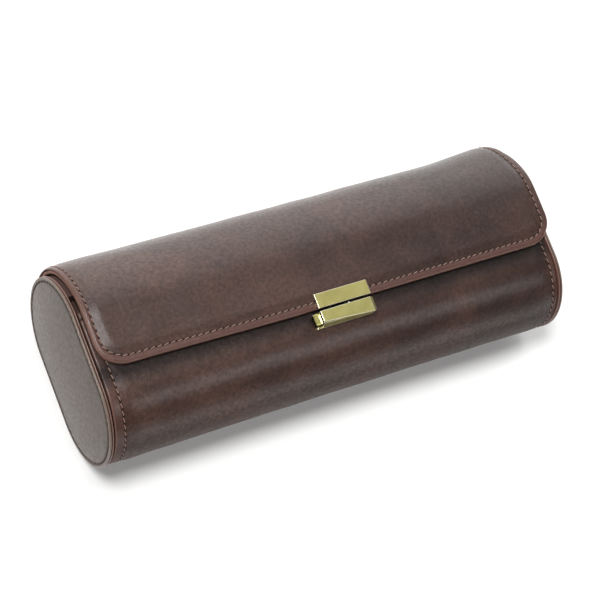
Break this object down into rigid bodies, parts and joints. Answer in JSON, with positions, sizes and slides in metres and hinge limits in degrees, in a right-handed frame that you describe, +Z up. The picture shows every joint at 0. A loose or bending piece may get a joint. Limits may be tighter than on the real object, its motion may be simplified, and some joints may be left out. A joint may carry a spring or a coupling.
{
  "type": "watch travel case",
  "caption": "Rigid leather watch roll with stadium end discs, a hinged flap with a brass push lock, and divided compartments with watch cushions.",
  "frame": {"origin": "middle of the footprint, on the flat back that the case lies on", "axes": "+X along the case, towards the solid end of the lock; +Y from the rounded front to the hinge; +Z up, out of the face with the lock"},
  "size_m": [0.22, 0.0842, 0.0555],
  "materials": {
    "outer_leather": "waxed brown leather with a fine grain, semi-gloss",
    "end_leather": "the same leather on the end discs, duller and greyer in the light",
    "edge_leather": "cut and burnished leather edge, reddish brown",
    "board": "pressed fibre board, dyed at its edge",
    "former_wood": "thin plywood",
    "suede_lining": "napped microfibre suede",
    "cushion_suede": "napped microfibre suede over foam",
    "lock_brass": "pale polished brass with bright edges",
    "lock_steel": "plain nickelled steel",
    "thread": "waxed brown thread"
  },
  "bodies": {
    "case": {"base_outer_leather": "outer_leather", "base_board": "board", "base_lining": "suede_lining", "hinge_leather": "outer_leather", "hinge_lining": "suede_lining", "end_left_leather": "end_leather", "end_left_board": "board", "end_left_inner": "edge_leather", "end_left_former": "former_wood", "end_left_facing": "suede_lining", "end_right_leather": "end_leather", "end_right_board": "board", "end_right_inner": "edge_leather", "end_right_former": "former_wood", "end_right_facing": "suede_lining", "divider_left": "suede_lining", "divider_right": "suede_lining", "cushion_left": "cushion_suede", "cushion_middle": "cushion_suede", "cushion_right": "cushion_suede", "lock_plate": "lock_brass", "lock_housing": "lock_brass", "lock_back_plate": "lock_steel", "lock_rivets": "lock_steel", "lock_spring": "lock_steel"},
    "lock_slide": {"push_button": "lock_brass", "slide_bar": "lock_steel"},
    "flap": {"flap_outer_leather": "outer_leather", "flap_board": "board", "flap_lining": "suede_lining", "hasp_plate": "lock_brass", "hasp_tongue": "lock_brass", "hasp_back_plate": "lock_steel", "hasp_rivets": "lock_steel"}
  },
  "joints": [
    {"name": "flap_hinge", "type": "hinge", "parent": "case", "child": "flap", "pos_m": [0, 0.03543, 0.01196], "axis": [-1, 0, 0], "range_deg": [0, 100], "deforming": ["hinge_leather", "hinge_lining"]},
    {"name": "button_push", "type": "slide", "parent": "case", "child": "lock_slide", "axis": [1, 0, 0], "range_m": [0, 0.003], "stiffness_N_per_m": 300, "springref_m": -0.002, "deforming": ["lock_spring"]}
  ]
}
